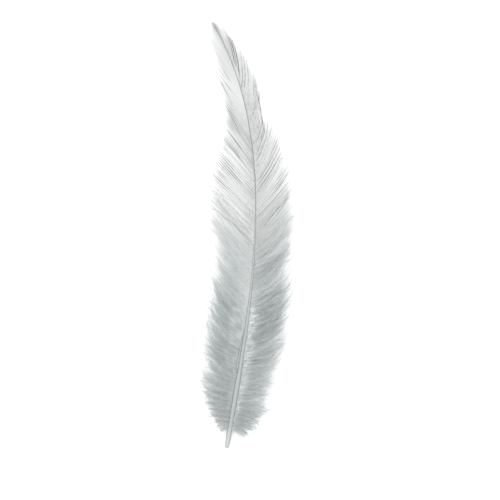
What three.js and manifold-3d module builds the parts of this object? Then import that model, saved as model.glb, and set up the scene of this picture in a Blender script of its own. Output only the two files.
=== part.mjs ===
// A rooster's saddle hackle: one slender feather lying on a flat surface, outer side up.
// Millimetres, +Z up. +Y runs from the quill to the point and +X to the right, seen from above.
// The origin is on the surface, in the middle of the feather's footprint.
// The feather grew as one piece: the shaft, its two vanes and the locks of down around its foot
// are joined into one solid.
import * as THREE from "three";
import { LoftGeometry } from "three/addons/geometries/LoftGeometry.js";
import { mergeVertices } from "three/addons/utils/BufferGeometryUtils.js";
import Module from "manifold-3d";

// Driving dimensions
const LENGTH = 150; // straight from the quill's end to the point
const ARCH = 4; // how far the shaft's middle stands above the surface
const DOWN_REACH = 14.2; // from the shaft to the ends of the longest down
const VANE_REACH = 5.8; // from the shaft to the edge of the narrow vane near the point

// The shaft's sweep seen from above, as shares of its length: right of the origin, and towards the
// point. The quill leans in from the left, and the point bends back to the left.
const QUILL_END = [-0.0475, -0.5];
const LOWER_PULL = [-0.0065, -0.233];
const UPPER_PULL = [0.099, 0.193];
const POINT = [-0.0815, 0.5];

// Radii of the shaft, at shares of its length: a bare quill that swells, then tapers to a hair
const QUILL_RADIUS = 0.7;
const SWELL_RADIUS = 0.95;
const HAIR_RADIUS = 0.1;
const SHAFT_RADII = [
  [0, QUILL_RADIUS],
  [0.05, SWELL_RADIUS],
  [0.16, SWELL_RADIUS],
  [0.2, 0.76 * SWELL_RADIUS],
  [0.25, 0.7 * SWELL_RADIUS],
  [0.35, 0.53 * SWELL_RADIUS],
  [0.45, 0.3 * SWELL_RADIUS],
  [0.6, 2 * HAIR_RADIUS],
  [0.85, 1.5 * HAIR_RADIUS],
  [1, HAIR_RADIUS],
];
const SHAFT_SIDES = 8;
const SHAFT_STEPS = 30;

// Vanes: two thin sheets of barbs, ragged at the edge and split here and there
const VANE_START = 0.46; // roots of the first and the last barbs, as shares of the shaft's length
const VANE_STOP = 0.965;
const VANE_BARBS = 44; // ridges of barbs drawn on each vane
const BARB_STEPS = 5;
const VANE_THICKNESS = 0.36; // at the foot of the vane
const VANE_THINNING = 1 / 3; // share of that thickness which is left at the point
const VANE_CLEARANCE = 0.8; // height of the vane's edge over the surface
const LEFT_SPLITS = [4, 9, 14, 25]; // barbs that are drawn back, which parts the vane there
const RIGHT_SPLITS = [6, 12, 20];
const SPLIT_DEPTH = 0.42; // share of a barb's length that a split cuts away
const NOTCH_DEPTH = 0.07; // likewise between one barb and the next
const VANE_RAGGEDNESS = 0.05; // share by which the barbs' lengths differ
const RIDGE = 0.08; // how far every other barb stands above its neighbours

// Lengths of a vane's barbs by the shares of their roots. The left vane is the broader one where the
// down begins.
const LEFT_LENGTHS = [
  [0.37, 1.1],
  [0.44, 1.22],
  [0.5, 1.22],
  [0.56, 1.14],
  [0.64, 1.04],
  [0.7, 1],
];
const RIGHT_LENGTHS = [[0, 1]];

// Locks of down, each one a group of soft barbs that cling together
const DOWN_START = 0.045; // the quill is bare below this share of the shaft's length
const DOWN_STOP = 0.48;
const LOCKS_IN_LAYER = 7; // on each side
const LAYERS = [
  // how far a layer puffs up above the shaft, and the height at which its locks end
  { lift: 0, landing: 0 },
  { lift: 1.6, landing: 2.6 },
  { lift: 4.4, landing: 4.6 },
];
const LOCK_STEPS = 5;
const LOCK_SIDES = 5;
const LOCK_HALF_WIDTH = 2.9;
const LOCK_HALF_THICKNESS = 1.3;
const LOCK_END = 0.06; // half the width and thickness of a lock at its very end
const LOCK_ROOT = 0.6; // half a lock's thickness at its root, as a share of the shaft's radius
const LOCK_SWELL_AT = 0.4; // where along a lock it has its full thickness
const LOCK_TAPER = 0.7; // the lower, the longer a lock keeps its width
const LOCK_UNEVENNESS = 0.3; // how far the locks' undersides differ in height
const LOCK_RAGGEDNESS = 0.2; // share by which the locks' lengths and widths differ
const LOCK_STRAY = 0.5; // how far a lock's root strays, as a share of the step between locks

// A barb leaves the shaft sideways and bends towards the point: where its bend lies, as shares of
// the way to its end along the shaft and away from it
const BEND_ALONG = 0.4;
const BEND_OUT = 0.62;

// How far the end of a barb lies beyond its root along the shaft, at shares of the shaft's length
const FULL_ADVANCE = 17;
const ADVANCE = [
  [0.04, -0.2 * FULL_ADVANCE],
  [0.09, 0],
  [0.15, 0.3 * FULL_ADVANCE],
  [0.25, 0.65 * FULL_ADVANCE],
  [0.45, 0.8 * FULL_ADVANCE],
  [0.6, 0.8 * FULL_ADVANCE],
  [0.75, 0.9 * FULL_ADVANCE],
  [0.85, FULL_ADVANCE],
];

// How far from the shaft the feather reaches, at shares of the shaft's length
const REACH = [
  [0.02, 0.4 * DOWN_REACH],
  [0.06, 0.7 * DOWN_REACH],
  [0.1, 0.86 * DOWN_REACH],
  [0.16, 0.96 * DOWN_REACH],
  [0.4, DOWN_REACH],
  [0.54, 0.95 * DOWN_REACH],
  [0.62, 0.86 * DOWN_REACH],
  [0.7, 0.66 * DOWN_REACH],
  [0.78, 1.12 * VANE_REACH],
  [0.86, VANE_REACH],
  [0.93, 0.74 * VANE_REACH],
  [0.97, 0.46 * VANE_REACH],
  [1, 0.03 * VANE_REACH],
];

const LEFT = -1;
const RIGHT = 1;
const UP = new THREE.Vector3(0, 0, 1);
const A_LITTLE = 0.01; // share of a path over which its direction is taken
const SEED = 7;
const { lerp, mapLinear, seededRandom, smoothstep } = THREE.MathUtils;
seededRandom(SEED);

const wasm = await Module();
wasm.setup();

// The value of a line through stations [share, value], at a share
function between(stations, share) {
  const next = stations.findIndex(([at]) => at >= share);
  if (next === 0) return stations[0][1];
  if (next < 0) return stations.at(-1)[1];
  const [from, low] = stations[next - 1];
  const [to, high] = stations[next];
  return mapLinear(share, from, to, low, high);
}

// The shaft's centre line. A cubic curve rises to three quarters of the height of its pulls.
const atHeight = ([x, y], z) => new THREE.Vector3(x * LENGTH, y * LENGTH, z);
const pullHeight = ARCH / 0.75;
const shaftLine = new THREE.CubicBezierCurve3(
  atHeight(QUILL_END, QUILL_RADIUS),
  atHeight(LOWER_PULL, pullHeight),
  atHeight(UPPER_PULL, pullHeight),
  atHeight(POINT, HAIR_RADIUS),
);
const shaftLength = shaftLine.getLength();

const shaftRadius = (share) => between(SHAFT_RADII, share);

// The point beside the shaft at a share of its length, a distance out to one side, at a height
function beside(share, side, distance, height) {
  const at = Math.min(share, 1);
  const out = shaftLine.getTangentAt(at).cross(UP).normalize();
  const point = shaftLine.getPointAt(at).addScaledVector(out, side * distance);
  return point.setZ(height);
}

// The line of a barb, as (share of the shaft's length, distance from the shaft, height)
function barbLine(root, length, lift, landing) {
  const toPoint = (1 - root) * shaftLength;
  const advance = between(ADVANCE, root) * Math.tanh(toPoint / FULL_ADVANCE);
  const end = root + (length * advance) / shaftLength;
  const reach = length * between(REACH, root + advance / shaftLength);
  const height = shaftLine.getPointAt(root).z;
  return new THREE.QuadraticBezierCurve3(
    new THREE.Vector3(root, 0, height),
    new THREE.Vector3(lerp(root, end, BEND_ALONG), BEND_OUT * reach, height + lift),
    new THREE.Vector3(end, reach, landing),
  );
}

// A closed solid along a path, with an elliptical section of so many sides
function sweep(pathAt, halfWidthAt, halfThicknessAt, sides, steps) {
  const sections = [];
  for (let i = 0; i <= steps; i++) {
    const t = i / steps;
    const ahead = pathAt(Math.min(t + A_LITTLE, 1));
    const along = ahead.sub(pathAt(Math.max(t - A_LITTLE, 0))).normalize();
    const across = along.clone().cross(UP).normalize();
    const over = across.clone().cross(along);
    const ring = [];
    for (let k = 0; k < sides; k++) {
      const angle = (-2 * Math.PI * k) / sides;
      const point = pathAt(t);
      point.addScaledVector(across, halfWidthAt(t) * Math.cos(angle));
      point.addScaledVector(over, halfThicknessAt(t) * Math.sin(angle));
      ring.push(point);
    }
    sections.push(ring);
  }
  return new LoftGeometry(sections, { capStart: true, capEnd: true });
}

function shaft() {
  return sweep((t) => shaftLine.getPointAt(t), shaftRadius, shaftRadius, SHAFT_SIDES, SHAFT_STEPS);
}

// One vane: a box of one layer whose columns follow the barbs, from inside the shaft outwards
function vane(side, splits, lengthsAt) {
  const box = new THREE.BoxGeometry(1, 1, 1, VANE_BARBS, BARB_STEPS, 1);
  const position = box.getAttribute("position");
  const inset = HAIR_RADIUS / 2; // so that the two vanes meet
  const rootOf = (across) => lerp(VANE_START, VANE_STOP, across);
  const lengths = Array.from({ length: VANE_BARBS + 1 }, (_, barb) => {
    const cut = splits.includes(barb) ? SPLIT_DEPTH : NOTCH_DEPTH * (barb % 2);
    const ragged = 1 - VANE_RAGGEDNESS * seededRandom();
    return between(lengthsAt, rootOf(barb / VANE_BARBS)) * (1 - cut) * ragged;
  });
  for (let i = 0; i < position.count; i++) {
    const across = 0.5 - side * position.getX(i);
    const barb = Math.round(across * VANE_BARBS);
    const thickness = VANE_THICKNESS * lerp(1, VANE_THINNING, across);
    const landing = VANE_CLEARANCE * (1 - across) + thickness;
    const line = barbLine(rootOf(across), lengths[barb], 0, landing);
    const { x: share, y: distance, z: height } = line.getPoint(position.getY(i) + 0.5);
    const over = RIDGE * (barb % 2) + thickness * position.getZ(i);
    const point = beside(share, side, distance - inset, height + over);
    position.setXYZ(i, point.x, point.y, point.z);
  }
  return box;
}

// One lock of down, which lies on the surface where it comes down that far
function lock(root, side, { lift, landing }) {
  const line = barbLine(root, 1 - LOCK_RAGGEDNESS * seededRandom(), lift, landing);
  const halfWidth = LOCK_HALF_WIDTH * (1 - LOCK_RAGGEDNESS * seededRandom());
  const floor = LOCK_UNEVENNESS * seededRandom();
  const pointed = (t) => (1 - t ** 2) ** LOCK_TAPER;
  const swollen = (t) =>
    lerp(LOCK_ROOT * shaftRadius(root), LOCK_HALF_THICKNESS, smoothstep(t, 0, LOCK_SWELL_AT));
  const width = (t) => Math.max(halfWidth * pointed(t), LOCK_END);
  const thickness = (t) => Math.max(swollen(t) * pointed(t), LOCK_END);
  const pathAt = (t) => {
    const { x: share, y: distance, z: height } = line.getPoint(t);
    return beside(share, side, distance, Math.max(height, thickness(t) + floor));
  };
  return sweep(pathAt, width, thickness, LOCK_SIDES, LOCK_STEPS);
}

// The locks of all layers on one side, with each layer's roots between those of the others
function down(side) {
  const count = LOCKS_IN_LAYER * LAYERS.length;
  const step = (DOWN_STOP - DOWN_START) / count;
  return Array.from({ length: count }, (_, i) => {
    const root = DOWN_START + (i + LOCK_STRAY * seededRandom()) * step;
    return lock(root, side, LAYERS[i % LAYERS.length]);
  });
}

function solidOf(geometry) {
  const bare = new THREE.BufferGeometry();
  bare.setAttribute("position", geometry.getAttribute("position"));
  bare.setIndex(geometry.index);
  const { attributes, index } = mergeVertices(bare);
  const mesh = new wasm.Mesh({
    numProp: 3,
    vertProperties: attributes.position.array,
    triVerts: new Uint32Array(index.array),
  });
  return new wasm.Manifold(mesh);
}

// One solid of them all. Its outer skin comes first, and the pockets that locks close off are filled.
function joined(geometries) {
  const union = geometries.map(solidOf).reduce((sum, solid) => sum.add(solid));
  const skin = union.decompose().find((piece) => piece.volume() > 0);
  const { numProp, vertProperties, triVerts } = skin.getMesh();
  const geometry = new THREE.BufferGeometry();
  geometry.setAttribute("position", new THREE.BufferAttribute(vertProperties, numProp));
  geometry.setIndex(new THREE.BufferAttribute(triVerts, 1));
  geometry.computeVertexNormals();
  return geometry;
}

const grown = [
  shaft(),
  vane(LEFT, LEFT_SPLITS, LEFT_LENGTHS),
  vane(RIGHT, RIGHT_SPLITS, RIGHT_LENGTHS),
  ...down(LEFT),
  ...down(RIGHT),
];

const keratin = new THREE.MeshStandardMaterial({ color: 0xaab1b1, roughness: 0.7, metalness: 0 });
const feather = new THREE.Mesh(joined(grown), keratin);
feather.name = "feather";

const hackle = new THREE.Group();
hackle.name = "saddle_hackle";
hackle.add(feather);

export default hackle;
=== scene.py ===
"""The looks of a rooster's saddle hackle, one slender feather that lies with its outer side up.

The script is laid out as an add-on: settings that a user would change, one operator for each group
of pieces, and a panel that lists them. Lengths are in metres, in the part's own frame: +Y runs from
the quill to the point, +X to the right seen from above, and +Z up from the surface.
"""

import math

import bpy
import numpy as np
from bpy.props import FloatProperty, FloatVectorProperty, IntProperty, PointerProperty
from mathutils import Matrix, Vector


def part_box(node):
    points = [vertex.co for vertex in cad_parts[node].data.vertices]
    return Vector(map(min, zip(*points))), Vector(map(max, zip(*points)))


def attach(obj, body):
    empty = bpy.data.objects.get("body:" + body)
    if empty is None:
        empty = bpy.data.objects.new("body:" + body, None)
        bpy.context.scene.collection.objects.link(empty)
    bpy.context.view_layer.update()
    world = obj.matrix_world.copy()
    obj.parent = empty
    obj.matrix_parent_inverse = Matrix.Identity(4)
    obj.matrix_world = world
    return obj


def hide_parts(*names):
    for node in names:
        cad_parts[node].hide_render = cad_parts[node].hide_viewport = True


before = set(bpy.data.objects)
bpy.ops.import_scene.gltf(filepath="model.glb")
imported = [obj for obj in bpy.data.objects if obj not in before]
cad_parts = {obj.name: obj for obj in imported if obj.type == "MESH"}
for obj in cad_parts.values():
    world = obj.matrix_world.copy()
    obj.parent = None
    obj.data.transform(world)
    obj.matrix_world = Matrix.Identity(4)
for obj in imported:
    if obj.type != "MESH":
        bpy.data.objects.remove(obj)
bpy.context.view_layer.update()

bl_info = {
    "name": "Saddle Hackle",
    "version": (1, 0, 0),
    "blender": (4, 5, 0),
    "location": "View3D > Sidebar > Hackle",
    "description": "Builds a rooster's saddle hackle, barb by barb, on a pale floor",
    "category": "Object",
}

MM = 0.001
LEFT = -1
RIGHT = 1
SIDE_NAMES = {LEFT: "left", RIGHT: "right"}

# The CAD node that the pieces stand for, and the body that they ride on
NODE = "feather"
BODY = "root"
LOW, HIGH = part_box(NODE)
LENGTH = HIGH.y - LOW.y


def stations(unit, *places):
    """Places (share, value) with their values in a unit."""
    return tuple((share, value * unit) for share, value in places)


# The shaft's sweep seen from above, as shares of the length: right of the origin, towards the point
QUILL_END = (-0.0475, -0.5)
LOWER_PULL = (-0.0065, -0.233)
UPPER_PULL = (0.099, 0.193)
POINT = (-0.0815, 0.5)
ARCH = 4 * MM
LINE_SAMPLES = 2001

# Radii of the shaft, by the share of its length: a bare quill that swells, then tapers to a hair
QUILL_RADIUS = 0.7 * MM
SWELL_RADIUS = 0.95 * MM
HAIR_RADIUS = 0.1 * MM
SHAFT_RADII = (
    (0, QUILL_RADIUS),
    *stations(SWELL_RADIUS, (0.05, 1), (0.16, 1), (0.2, 0.76), (0.25, 0.7), (0.35, 0.53), (0.45, 0.3)),
    *stations(HAIR_RADIUS, (0.6, 2), (0.85, 1.5), (1, 1)),
)

# How far the end of a barb lies beyond its root along the shaft, by its root's share of the shaft
FULL_ADVANCE = 17 * MM
ADVANCE = stations(
    FULL_ADVANCE, (0.04, -0.2), (0.09, 0), (0.15, 0.3), (0.25, 0.65), (0.45, 0.8), (0.6, 0.8), (0.75, 0.9),
    (0.85, 1),
)

# How far from the shaft the barbs reach, by the share of the shaft that their ends lie beside
DOWN_REACH = 14.2 * MM
VANE_REACH = 5.8 * MM
REACH = (
    *stations(DOWN_REACH, (0.02, 0.4), (0.06, 0.7), (0.1, 0.86), (0.16, 0.96), (0.4, 1)),
    *stations(DOWN_REACH, (0.54, 0.95), (0.62, 0.86), (0.7, 0.66)),
    *stations(VANE_REACH, (0.78, 1.12), (0.86, 1), (0.93, 0.74), (0.97, 0.46), (1, 0.03)),
)

# Where a barb's bend lies, as shares of the way to its end along the shaft and away from it
DOWN_BEND = (0.3, 0.66)

BAKE_MAP = "OFBake"


def colour_setting(name, description, default):
    return FloatVectorProperty(
        name=name, description=description, subtype="COLOR", default=default, min=0, max=1
    )


def length_setting(name, description, default):
    return FloatProperty(name=name, description=description, unit="LENGTH", default=default, precision=6)


class ShaftSettings(bpy.types.PropertyGroup):
    """Sizes and colours of the shaft"""

    quill: colour_setting("Quill", "Colour of the bare quill", (0.435, 0.462, 0.457))
    hair: colour_setting("Hair", "Colour of the shaft's thin upper end", (0.24, 0.255, 0.26))
    groove: FloatProperty(
        name="Groove", description="Depth of the groove along the underside, as a share of the radius",
        subtype="FACTOR", default=0.35, min=0, max=0.8,
    )


class VaneSettings(bpy.types.PropertyGroup):
    """Sizes and colours of the two vanes"""

    barbs: IntProperty(name="Barbs", description="Barbs on each side", default=260, min=10)
    barb_radius: length_setting("Barb Radius", "Radius of a barb at its root", 0.04 * MM)
    spacing: length_setting("Barbule Spacing", "Between the barbules of a barb", 0.19 * MM)
    barbule_length: length_setting("Barbule Length", "Length of the barbules of the web", 0.7 * MM)
    barbule_radius: length_setting("Barbule Radius", "Greatest radius of a barbule", 0.025 * MM)
    dark: colour_setting("Dark", "Colour of the darkest barbs", (0.14, 0.155, 0.155))
    pale: colour_setting("Pale", "Colour of the palest barbs", (0.84, 0.852, 0.846))
    seed: IntProperty(name="Seed", description="Seed of all that is uneven", default=11)


class DownSettings(bpy.types.PropertyGroup):
    """Sizes and colours of the down"""

    barbs: IntProperty(name="Barbs", description="Barbs on each side", default=320, min=10)
    barb_radius: length_setting("Barb Radius", "Radius of a barb at its root", 0.045 * MM)
    spacing: length_setting("Barbule Spacing", "Between the barbules of a barb", 0.113 * MM)
    barbule_length: length_setting("Barbule Length", "Length of the longest barbules", 1.9 * MM)
    barbule_radius: length_setting("Barbule Radius", "Greatest radius of a barbule", 0.026 * MM)
    dark: colour_setting("Dark", "Colour of the darkest down", (0.38, 0.42, 0.42))
    pale: colour_setting("Pale", "Colour of the palest down", (0.86, 0.91, 0.905))
    seed: IntProperty(name="Seed", description="Seed of all that is uneven", default=23)


class StageSettings(bpy.types.PropertyGroup):
    """Floor, light and camera"""

    floor: colour_setting("Floor", "Colour of the floor", (0.95, 0.95, 0.95))
    sky: FloatProperty(
        name="Sky", description="Brightness of the even light from all around", default=1.3, min=0,
    )
    lamp: FloatProperty(
        name="Lamp", description="Power of the soft lamp overhead", unit="POWER", default=2.0, min=0,
    )
    view_width: length_setting("View Width", "Width of the floor that the camera sees", 176.5 * MM)


class HackleSettings(bpy.types.PropertyGroup):
    """All settings of the feather and its stage"""

    shaft: PointerProperty(type=ShaftSettings)
    vane: PointerProperty(type=VaneSettings)
    down: PointerProperty(type=DownSettings)
    stage: PointerProperty(type=StageSettings)


class Value:
    """A number in a node tree: the socket that it comes from, with the arithmetic used on it."""

    def __init__(self, nodes, socket):
        self.nodes = nodes
        self.socket = socket

    def __add__(self, other):
        return self.nodes.math("ADD", self, other)

    def __sub__(self, other):
        return self.nodes.math("SUBTRACT", self, other)

    def __rsub__(self, other):
        return self.nodes.math("SUBTRACT", other, self)

    def __mul__(self, other):
        return self.nodes.math("MULTIPLY", self, other)


class Nodes:
    """A node tree that is filled by calls and expressions."""

    def __init__(self, tree):
        self.tree = tree

    def node(self, kind, settings=None, **values):
        """Adds a node, sets its settings, then sets or links its sockets by name, and returns it."""
        made = self.tree.nodes.new(kind)
        for name, setting in (settings or {}).items():
            setattr(made, name, setting)
        for name, value in values.items():
            wanted = name.replace("_", " ")
            socket = next(s for s in made.inputs if s.enabled and s.name == wanted)
            self.feed(socket, value)
        return made

    def feed(self, socket, value):
        if isinstance(value, Value):
            value = value.socket
        if isinstance(value, bpy.types.NodeSocket):
            self.tree.links.new(value, socket)
        else:
            socket.default_value = value

    def out(self, made, name=None):
        """The output of a node that is in use, as a value."""
        socket = next(s for s in made.outputs if s.enabled and name in (None, s.name))
        return Value(self, socket)

    def value(self, kind, settings=None, **values):
        """The output of a new node, as a value."""
        return self.out(self.node(kind, settings, **values))

    def split(self, vector):
        """The three parts of a vector."""
        parts = self.node("ShaderNodeSeparateXYZ", Vector=vector)
        return [self.out(parts, name) for name in "XYZ"]

    def place(self):
        """The place in space that a geometry tree is at work on."""
        return self.split(self.value("GeometryNodeInputPosition"))

    def map_place(self):
        """The place in a piece's colour map, across it and upwards."""
        return self.split(self.value("ShaderNodeUVMap", {"uv_map": BAKE_MAP}))[:2]

    def math(self, operation, *values, kind="ShaderNodeMath"):
        """The result of an operation on values, which go to the node's sockets in their order."""
        made = self.node(kind, {"operation": operation})
        for socket, value in zip([s for s in made.inputs if s.enabled], values):
            self.feed(socket, value)
        return self.out(made)

    def vector(self, operation, *values):
        return self.math(operation, *values, kind="ShaderNodeVectorMath")

    def combine(self, x, y, z):
        return self.value("ShaderNodeCombineXYZ", X=x, Y=y, Z=z)

    def input(self, name, kind):
        """A named input of a geometry tree, as a value."""
        self.tree.interface.new_socket(name, in_out="INPUT", socket_type=kind)
        group = self.tree.nodes.get("Group Input") or self.tree.nodes.new("NodeGroupInput")
        return Value(self, group.outputs[name])

    def result(self, geometry):
        self.tree.interface.new_socket("Geometry", in_out="OUTPUT", socket_type="NodeSocketGeometry")
        group = self.tree.nodes.new("NodeGroupOutput")
        self.feed(group.inputs[0], geometry)

    def attribute(self, name):
        return self.value("GeometryNodeInputNamedAttribute", {"data_type": "FLOAT"}, Name=name)

    def stored(self, geometry, name, value, data_type="FLOAT", domain="POINT"):
        settings = {"data_type": data_type, "domain": domain}
        return self.value(
            "GeometryNodeStoreNamedAttribute", settings, Geometry=geometry, Name=name, Value=value
        )

    def ramp(self, low, high, value):
        """Rises smoothly from nought where the value is low to one where it is high."""
        settings = {"interpolation_type": "SMOOTHSTEP"}
        return self.value("ShaderNodeMapRange", settings, Value=value, From_Min=low, From_Max=high)

    def random(self, low, high, seed):
        return self.value("FunctionNodeRandomValue", {"data_type": "FLOAT"}, Min=low, Max=high, Seed=seed)


# Plans of the barbs

# How the swings of barbs differ in their turns, and the power by which things grow towards barbs' ends
TURNS_SPREAD = (0.7, 1.3)
GROWTH = 1.5


def between(places, shares):
    """The values of a line through places (share, value), at shares."""
    at, values = zip(*places)
    return np.interp(shares, at, values)


def ramp(low, high, values):
    t = np.clip((values - low) / (high - low), 0, 1)
    return t * t * (3 - 2 * t)


def unit(vectors):
    """Vectors made one long."""
    return vectors / np.linalg.norm(vectors, axis=-1)[..., None]


class ShaftLine:
    """The shaft's centre line, read by the share of its length from the quill's end."""

    def __init__(self):
        # A cubic curve rises to three quarters of the height of its pulls
        pull_height = ARCH / 0.75
        heights = (QUILL_RADIUS, pull_height, pull_height, HAIR_RADIUS)
        places = (QUILL_END, LOWER_PULL, UPPER_PULL, POINT)
        a, b, c, d = (np.array((x * LENGTH, y * LENGTH, z)) for (x, y), z in zip(places, heights))
        t = np.linspace(0, 1, LINE_SAMPLES)[:, None]
        self.points = (1 - t) ** 3 * a + 3 * t * (1 - t) ** 2 * b + 3 * t**2 * (1 - t) * c + t**3 * d
        steps = np.linalg.norm(np.diff(self.points, axis=0), axis=1)
        self.length = steps.sum()
        self.shares = np.concatenate(([0], np.cumsum(steps))) / self.length
        self.slopes = unit(np.gradient(self.points, axis=0))

    def read(self, table, shares):
        return np.stack([np.interp(shares, self.shares, table[:, k]) for k in range(3)], axis=-1)

    def at(self, shares):
        return self.read(self.points, shares)

    def direction(self, shares):
        return self.read(self.slopes, shares)

    def beside(self, shares, side, distances, heights):
        """Points a distance out to one side of the shaft, at heights above the surface."""
        along = self.direction(shares)
        out = unit(np.stack((along[..., 1], -along[..., 0], np.zeros_like(shares)), axis=-1))
        points = self.at(shares) + side * distances[..., None] * out
        points[..., 2] = heights
        return points


def shaft_radius(shares):
    return between(SHAFT_RADII, shares)


def barb_curves(line, roots, lengths, lifts, landings, along, sweeps, bows=1.0, bend=DOWN_BEND):
    """Shares of the shaft, distances from it and heights of barbs, each with one row for a barb.

    A barb's sweep scales how far it advances along the shaft, and its bow how far out it bends.
    """
    to_point = (1 - roots) * line.length
    advances = between(ADVANCE, roots) * np.tanh(to_point / FULL_ADVANCE)
    reaches = lengths * between(REACH, roots + advances / line.length)
    ends = roots + sweeps * lengths * advances / line.length
    heights = line.at(roots)[..., 2]
    bend_along, bend_out = bend

    def curve(start, bend, end):
        return (1 - along) ** 2 * start + 2 * along * (1 - along) * bend + along**2 * end

    return (
        curve(roots, roots + (ends - roots) * bend_along, ends),
        curve(0, bows * bend_out * reaches, reaches),
        curve(heights, heights + lifts, landings),
    )


def roots_by_density(density, parts):
    """Shares of the shaft at parts between nought and one, close together where barbs are dense."""
    shares = np.linspace(density[0][0], density[-1][0], LINE_SAMPLES)
    sums = np.cumsum(between(density, shares))
    return np.interp(parts, sums / sums[-1], shares)


def clumps_of(count, chance, rng):
    """The number of each barb's clump, from the chance that a barb starts a new one."""
    numbers = np.cumsum(rng.random(count) < chance)
    return numbers - numbers[0]


def uneven(rng, clumps, own, shared):
    """Random numbers around nought, one for each barb: its own part and one shared by its clump."""
    each = (len(clumps), 1)
    return own * rng.uniform(-1, 1, each) + shared * rng.uniform(-1, 1, each)[clumps]


def window(low, high, values):
    """Rises from nought at low to one half way, and falls to nought at high."""
    t = np.clip((values - low) / (high - low), 0, 1)
    return 4 * t * (1 - t)


def plateau(low, high, values):
    """Like a window of twice the height, cut off at one."""
    return np.minimum(2 * window(low, high, values), 1)


def clump_mean(values, clumps):
    """Each barb's row of values, averaged over its clump."""
    total = np.zeros((clumps.max() + 1, values.shape[1]))
    np.add.at(total, clumps, values)
    return (total / np.bincount(clumps)[:, None])[clumps]


def waves(rng, each, along, swing, turns):
    """Swings to and fro along barbs, which grow towards their ends."""
    phases = rng.uniform(0, 2 * math.pi, each)
    turns = turns * rng.uniform(*TURNS_SPREAD, each)
    return swing * along**GROWTH * np.sin(2 * math.pi * turns * along + phases)


def plan_mesh(name, paths, **attributes):
    """A mesh of one line of edges for each path, with a number at each point for each attribute."""
    barbs, steps, _ = paths.shape
    first = np.arange(barbs * steps).reshape(barbs, steps)[:, :-1].ravel()
    edges = np.stack((first, first + 1), axis=1)
    mesh = bpy.data.meshes.new(name)
    mesh.from_pydata(paths.reshape(-1, 3).tolist(), edges.tolist(), [])
    for key, values in attributes.items():
        layer = mesh.attributes.new(key, "FLOAT", "POINT")
        layer.data.foreach_set("value", np.broadcast_to(values, (barbs, steps)).astype(np.float32).ravel())
    return mesh


# Barbs and barbules

ALONG = "along"
TONE = "tone"
RADIUS = "radius"
BARBULE = "barbule"
HAIR = "hair"
RISE = "rise"
AROUND = "around"
BARB_SIDES = 3
BARB_TAPER = 0.5
LEAST_BARBULE = 0.06 * MM
BARBULE_LENGTHS = (0.6, 1.0)
TONE_STRAY = 0.12
LIES_BELOW = 0.4 * MM

# Where a barb's colour map holds the way along it and its tone: the start and the span of each.
# The height and the turn of a barbule take up a little more, so that no face is flat in the map.
MAP_ALONG = (0.03, 0.86)
MAP_TONE = (0.08, 0.8)
MAP_RISE = 0.08
MAP_AROUND = 0.04
BULGE_AT = 0.3
UP = (0.0, 0.0, 1.0)


def barbule_shape(nodes, bend):
    """A bent, three-sided spike of unit length and radius, pointed at both ends."""
    cone = nodes.node(
        "GeometryNodeMeshCone", {"fill_type": "TRIANGLE_FAN"},
        Vertices=BARB_SIDES, Side_Segments=1, Fill_Segments=1, Radius_Top=0.0, Radius_Bottom=1.0, Depth=1.0,
    )
    x, y, z = nodes.place()
    from_axis = nodes.math("SQRT", x * x + y * y)
    rise = nodes.math("MAXIMUM", z, from_axis * BULGE_AT)
    around = nodes.math("ARCTAN2", y, x) * (0.5 / math.pi) + 0.5
    shape = nodes.stored(nodes.out(cone, "Mesh"), AROUND, around * from_axis)
    shape = nodes.stored(shape, RISE, rise)
    rise = nodes.attribute(RISE)
    bent = nodes.combine(x + bend * rise * rise, y, rise)
    return nodes.value("GeometryNodeSetPosition", Geometry=shape, Position=bent)


def laid_down(nodes, geometry):
    """Bends what would reach below the surface, so that it lies on it."""
    x, y, z = nodes.place()
    sunk = nodes.math("MINIMUM", z - LIES_BELOW, 0.0) * (1 / LIES_BELOW)
    kept = nodes.math("MAXIMUM", z, nodes.math("EXPONENT", sunk) * LIES_BELOW)
    above = nodes.combine(x, y, kept)
    return nodes.value("GeometryNodeSetPosition", Geometry=geometry, Position=above)


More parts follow.
